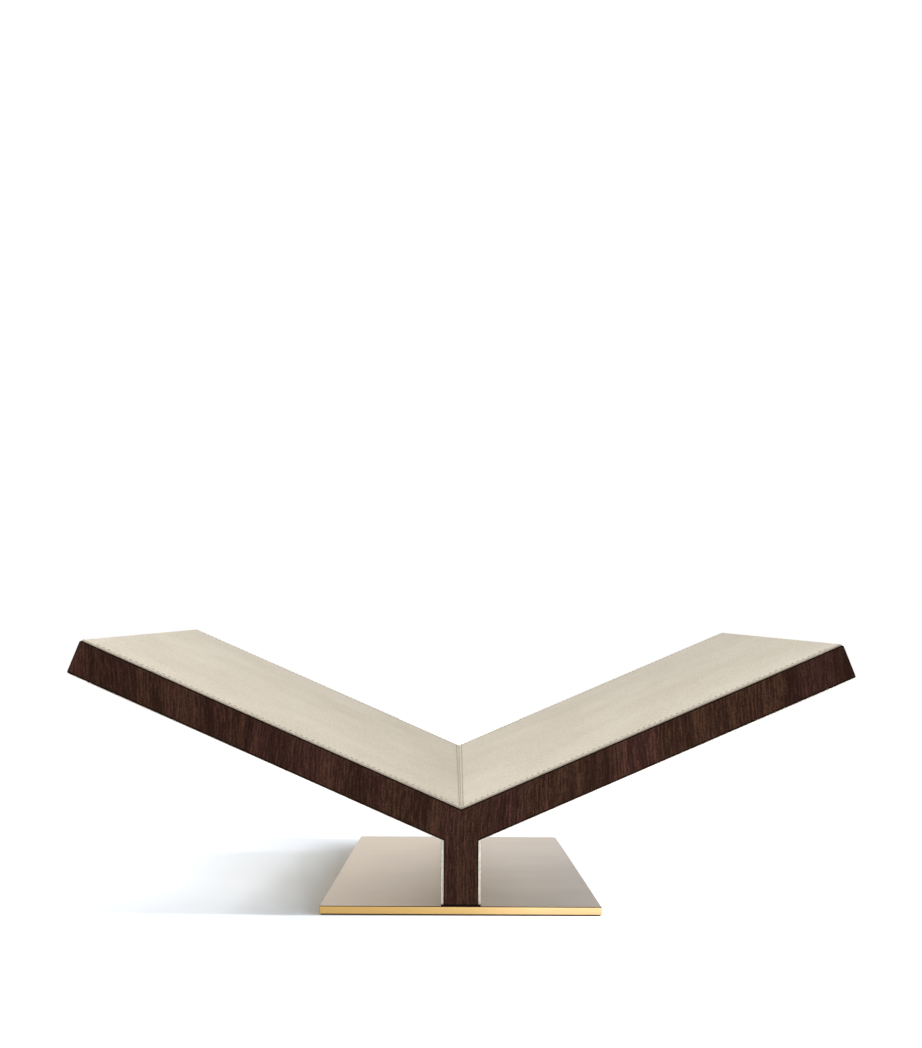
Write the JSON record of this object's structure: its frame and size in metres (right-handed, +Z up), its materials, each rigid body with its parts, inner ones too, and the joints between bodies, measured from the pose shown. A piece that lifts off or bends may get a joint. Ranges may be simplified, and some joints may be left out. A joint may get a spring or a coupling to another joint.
{
  "type": "book stand",
  "caption": "Y-shaped book stand: two leather-covered arms form a V on a short stem with walnut front and back, on a flat brass plate.",
  "frame": {"origin": "middle of the felt's underside, on the surface that the stand is on", "axes": "+X across the V, to the right as seen from the front; +Y from the front walnut face to the back one; +Z up"},
  "size_m": [0.4996, 0.35, 0.1898],
  "materials": {
    "walnut": "dark walnut veneer with upright grain, satin lacquer",
    "leather": "cream calf leather with a fine pebble grain, matt",
    "board": "birch plywood, unfinished",
    "dowel": "beech, unfinished",
    "spacer": "dark brown fibre strip, matt",
    "brass": "satin brushed top, polished edges",
    "felt": "dark brown wool felt",
    "screw_steel": "zinc plated",
    "insert_brass": "turned"
  },
  "bodies": {
    "root": {"front_walnut_face": "walnut", "back_walnut_face": "walnut", "stem_board": "board", "left_arm_board": "board", "right_arm_board": "board", "arm_dowels": "dowel", "left_top_leather": "leather", "right_top_leather": "leather", "left_under_leather": "leather", "right_under_leather": "leather", "left_stem_leather": "leather", "right_stem_leather": "leather", "stem_spacer": "spacer", "base_plate": "brass", "base_felt": "felt", "base_screws": "screw_steel", "threaded_inserts": "insert_brass"}
  },
  "joints": []
}
